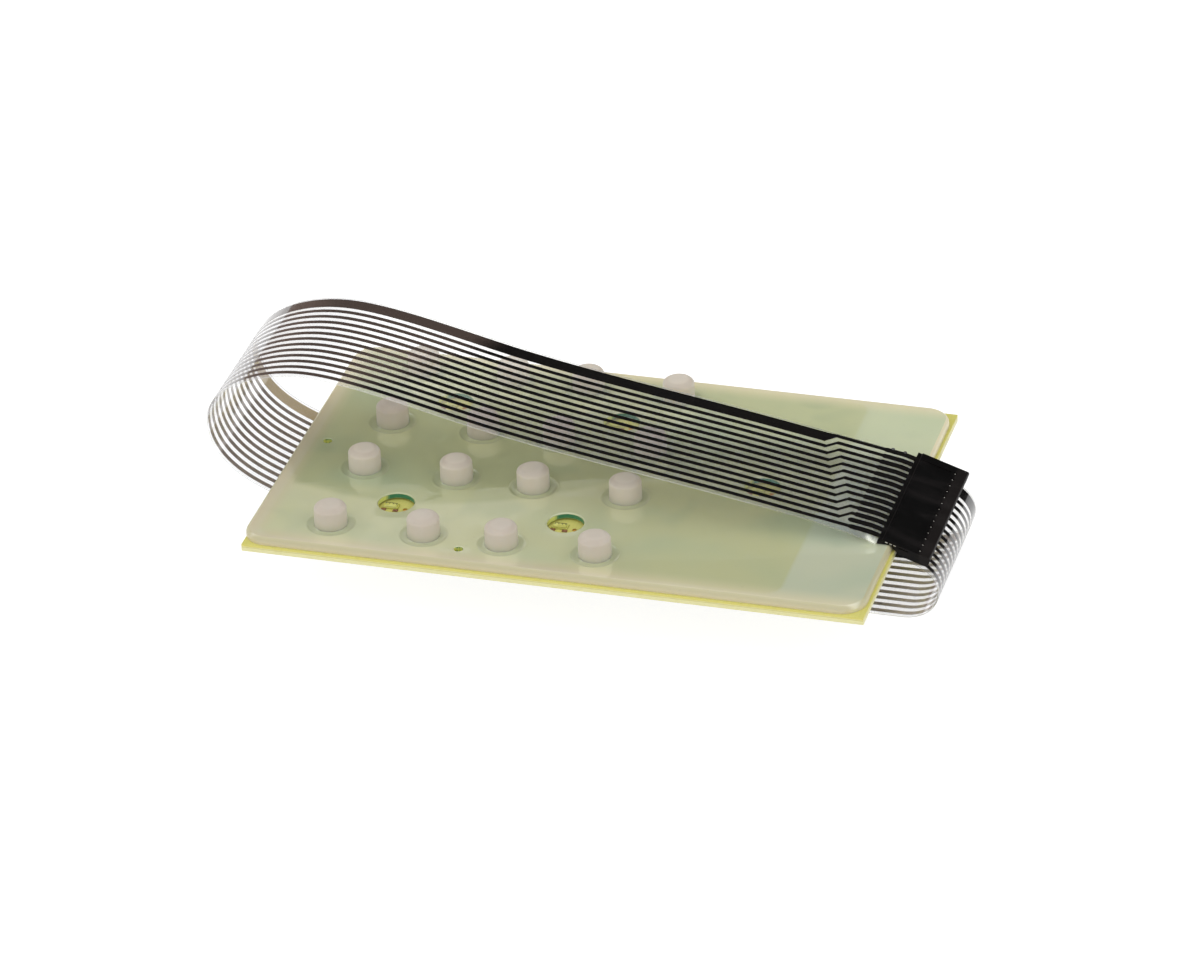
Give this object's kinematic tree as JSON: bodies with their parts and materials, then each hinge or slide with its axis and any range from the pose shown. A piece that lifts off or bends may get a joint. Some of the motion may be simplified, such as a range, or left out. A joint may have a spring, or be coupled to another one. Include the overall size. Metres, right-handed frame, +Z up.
{
  "type": "rubber keypad module",
  "caption": "Silicone key mat with round posts on a circuit board, with a printed flexible tail that loops round the board and ends in a black crimp connector.",
  "frame": {"origin": "on the plane the tail's under-run rests on, under the middle of the circuit board", "axes": "+X along the board's long side towards the connector, +Y to the board's back edge, +Z up, out of the face with the keys"},
  "size_m": [0.1635, 0.0874, 0.0428],
  "materials": {
    "board": "pale yellow-green glass-epoxy board",
    "copper": "thin plated copper",
    "mat": "glossy translucent silicone",
    "key": "satin milky silicone",
    "carbon": "matt carbon-filled rubber",
    "lamp": "clear resin",
    "film": "clear polyester film",
    "ink": "black printed conductor",
    "housing": "black moulded plastic",
    "contact": "tin-plated bronze"
  },
  "bodies": {
    "module": {"circuit_board": "board", "switch_pads": "copper", "key_mat": "mat", "lamp_1": "lamp", "lamp_2": "lamp", "lamp_3": "lamp", "lamp_4": "lamp", "lamp_5": "lamp", "tail_film": "film", "tail_tracks": "ink", "tail_pads": "copper", "connector_housing": "housing", "connector_cover": "housing", "crimp_contacts": "contact"},
    "key_r1c1": {"key_r1c1": "key", "pill_r1c1": "carbon"},
    "key_r1c2": {"key_r1c2": "key", "pill_r1c2": "carbon"},
    "key_r1c3": {"key_r1c3": "key", "pill_r1c3": "carbon"},
    "key_r1c4": {"key_r1c4": "key", "pill_r1c4": "carbon"},
    "key_r2c1": {"key_r2c1": "key", "pill_r2c1": "carbon"},
    "key_r2c2": {"key_r2c2": "key", "pill_r2c2": "carbon"},
    "key_r2c3": {"key_r2c3": "key", "pill_r2c3": "carbon"},
    "key_r2c4": {"key_r2c4": "key", "pill_r2c4": "carbon"},
    "key_r3c1": {"key_r3c1": "key", "pill_r3c1": "carbon"},
    "key_r3c2": {"key_r3c2": "key", "pill_r3c2": "carbon"},
    "key_r3c3": {"key_r3c3": "key", "pill_r3c3": "carbon"},
    "key_r3c4": {"key_r3c4": "key", "pill_r3c4": "carbon"},
    "key_r4c1": {"key_r4c1": "key", "pill_r4c1": "carbon"},
    "key_r4c2": {"key_r4c2": "key", "pill_r4c2": "carbon"},
    "key_r4c3": {"key_r4c3": "key", "pill_r4c3": "carbon"},
    "key_r4c4": {"key_r4c4": "key", "pill_r4c4": "carbon"}
  },
  "joints": [
    {"name": "press_r1c1", "type": "slide", "parent": "module", "child": "key_r1c1", "axis": [0, 0, -1], "range_m": [0, 0.0008], "stiffness_N_per_m": 1500},
    {"name": "press_r1c2", "type": "slide", "parent": "module", "child": "key_r1c2", "axis": [0, 0, -1], "range_m": [0, 0.0008], "stiffness_N_per_m": 1500},
    {"name": "press_r1c3", "type": "slide", "parent": "module", "child": "key_r1c3", "axis": [0, 0, -1], "range_m": [0, 0.0008], "stiffness_N_per_m": 1500},
    {"name": "press_r1c4", "type": "slide", "parent": "module", "child": "key_r1c4", "axis": [0, 0, -1], "range_m": [0, 0.0008], "stiffness_N_per_m": 1500},
    {"name": "press_r2c1", "type": "slide", "parent": "module", "child": "key_r2c1", "axis": [0, 0, -1], "range_m": [0, 0.0008], "stiffness_N_per_m": 1500},
    {"name": "press_r2c2", "type": "slide", "parent": "module", "child": "key_r2c2", "axis": [0, 0, -1], "range_m": [0, 0.0008], "stiffness_N_per_m": 1500},
    {"name": "press_r2c3", "type": "slide", "parent": "module", "child": "key_r2c3", "axis": [0, 0, -1], "range_m": [0, 0.0008], "stiffness_N_per_m": 1500},
    {"name": "press_r2c4", "type": "slide", "parent": "module", "child": "key_r2c4", "axis": [0, 0, -1], "range_m": [0, 0.0008], "stiffness_N_per_m": 1500},
    {"name": "press_r3c1", "type": "slide", "parent": "module", "child": "key_r3c1", "axis": [0, 0, -1], "range_m": [0, 0.0008], "stiffness_N_per_m": 1500},
    {"name": "press_r3c2", "type": "slide", "parent": "module", "child": "key_r3c2", "axis": [0, 0, -1], "range_m": [0, 0.0008], "stiffness_N_per_m": 1500},
    {"name": "press_r3c3", "type": "slide", "parent": "module", "child": "key_r3c3", "axis": [0, 0, -1], "range_m": [0, 0.0008], "stiffness_N_per_m": 1500},
    {"name": "press_r3c4", "type": "slide", "parent": "module", "child": "key_r3c4", "axis": [0, 0, -1], "range_m": [0, 0.0008], "stiffness_N_per_m": 1500},
    {"name": "press_r4c1", "type": "slide", "parent": "module", "child": "key_r4c1", "axis": [0, 0, -1], "range_m": [0, 0.0008], "stiffness_N_per_m": 1500},
    {"name": "press_r4c2", "type": "slide", "parent": "module", "child": "key_r4c2", "axis": [0, 0, -1], "range_m": [0, 0.0008], "stiffness_N_per_m": 1500},
    {"name": "press_r4c3", "type": "slide", "parent": "module", "child": "key_r4c3", "axis": [0, 0, -1], "range_m": [0, 0.0008], "stiffness_N_per_m": 1500},
    {"name": "press_r4c4", "type": "slide", "parent": "module", "child": "key_r4c4", "axis": [0, 0, -1], "range_m": [0, 0.0008], "stiffness_N_per_m": 1500}
  ]
}
